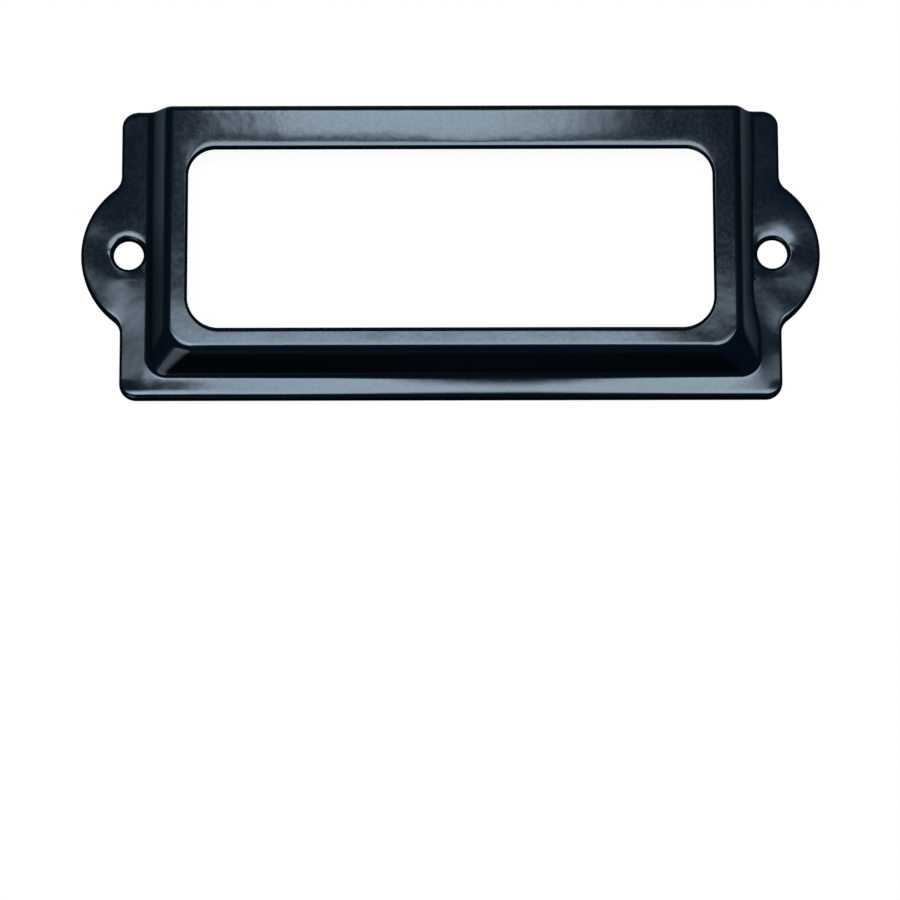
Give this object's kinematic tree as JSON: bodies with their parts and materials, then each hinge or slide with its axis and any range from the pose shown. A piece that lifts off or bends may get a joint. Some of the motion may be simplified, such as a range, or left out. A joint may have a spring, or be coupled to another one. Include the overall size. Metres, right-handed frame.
{
  "type": "drawer label holder",
  "caption": "Pressed sheet-metal card frame for a drawer front: raised window with an open top slot, and a screw ear at each end.",
  "frame": {"origin": "midway between the two screw holes, on the back plane that lies against the drawer front", "axes": "+Z out of the drawer front, +Y towards the open edge where the card slides in, +X to the right seen from the front"},
  "size_m": [0.082, 0.0332, 0.0032],
  "materials": {
    "black_paint": "satin black enamel with a faint blue cast and a fine mottle, on pressed steel sheet"
  },
  "bodies": {
    "root": {"label_frame": "black_paint"}
  },
  "joints": []
}
